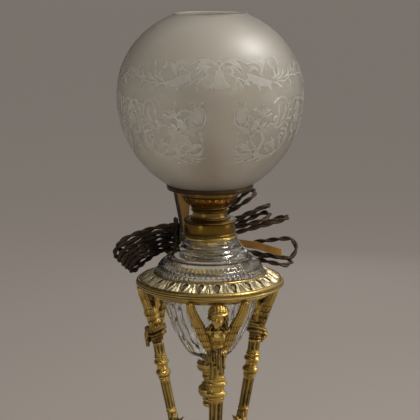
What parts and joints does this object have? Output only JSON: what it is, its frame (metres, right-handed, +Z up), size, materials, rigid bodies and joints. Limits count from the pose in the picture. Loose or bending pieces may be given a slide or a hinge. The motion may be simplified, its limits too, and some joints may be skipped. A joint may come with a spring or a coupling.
{
  "type": "tripod table lamp",
  "caption": "Gilt bronze tripod lamp with winged half figures, a ring that holds a cut-glass font, and an etched glass globe; twisted cloth flex tied behind its neck.",
  "frame": {"origin": "on the table, at the middle of the felt under the plinth, on the lamp's axis", "axes": "+Z up along the lamp's axis, -Y towards the front leg"},
  "size_m": [0.2383, 0.2405, 0.7181],
  "materials": {
    "gilt": "polished, warm gilt with dark recesses",
    "dark_gilt": "aged satin gilt",
    "brown_patina": "dark brown patina, satin",
    "steel": "plain",
    "felt": "matt felt",
    "clear_glass": "clear cut glass",
    "etched_glass": "acid-etched, with a clear ornament",
    "bulb_white": "opal",
    "brown_cloth": "braided cloth, twisted pair",
    "amber_plastic": "glossy, slightly clear",
    "brown_plastic": "moulded, glossy"
  },
  "bodies": {
    "stand": {"base_felt": "felt", "base_plinth": "dark_gilt", "stretcher_hub": "dark_gilt", "stretcher_finial": "gilt", "stretcher_nut": "gilt", "support_ring": "gilt", "ring_frieze": "gilt", "base_screw_1": "steel", "base_screw_2": "steel", "base_screw_3": "steel", "lower_leg_1": "gilt", "lower_leg_2": "gilt", "lower_leg_3": "gilt", "lower_column_1": "gilt", "lower_column_2": "gilt", "lower_column_3": "gilt", "column_knop_1": "gilt", "column_knop_2": "gilt", "column_knop_3": "gilt", "upper_column_1": "gilt", "upper_column_2": "gilt", "upper_column_3": "gilt", "caryatid_1": "gilt", "caryatid_2": "gilt", "caryatid_3": "gilt", "left_wing_1": "gilt", "left_wing_2": "gilt", "left_wing_3": "gilt", "right_wing_1": "gilt", "right_wing_2": "gilt", "right_wing_3": "gilt", "ring_screw_1": "steel", "ring_screw_2": "steel", "ring_screw_3": "steel"},
    "font": {"glass_font": "clear_glass", "font_collar": "gilt", "pendant_cup": "gilt", "pendant_baluster": "gilt", "pendant_ball": "gilt", "pendant_drop": "gilt"},
    "burner": {"burner_drum": "dark_gilt", "burner_neck": "dark_gilt", "gallery_basket": "dark_gilt", "gallery_band": "gilt", "gallery_ring": "brown_patina", "lampholder_stem": "dark_gilt", "lampholder_shell": "dark_gilt", "cord_bush": "dark_gilt", "flex_lead": "brown_cloth", "flex_hank": "brown_cloth", "flex_tail": "brown_cloth", "flex_strap": "amber_plastic", "plug_body": "brown_plastic", "plug_pin_top": "dark_gilt", "plug_pin_bottom": "dark_gilt"},
    "bulb": {"bulb_cap": "steel", "bulb_glass": "bulb_white"},
    "globe": {"globe_shade": "etched_glass"}
  },
  "joints": [
    {"name": "font_lift", "type": "slide", "parent": "stand", "child": "font", "axis": [0, 0, 1], "range_m": [0, 0.15]},
    {"name": "burner_turn", "type": "hinge", "parent": "font", "child": "burner", "pos_m": [0, 0, 0.45], "axis": [0, 0, 1], "range_deg": [0, 25]},
    {"name": "bulb_turn", "type": "hinge", "parent": "burner", "child": "bulb", "pos_m": [0, 0, 0.55], "axis": [0, 0, 1], "range_deg": [0, 20]},
    {"name": "globe_lift", "type": "slide", "parent": "burner", "child": "globe", "axis": [0, 0, 1], "range_m": [0, 0.15]}
  ]
}
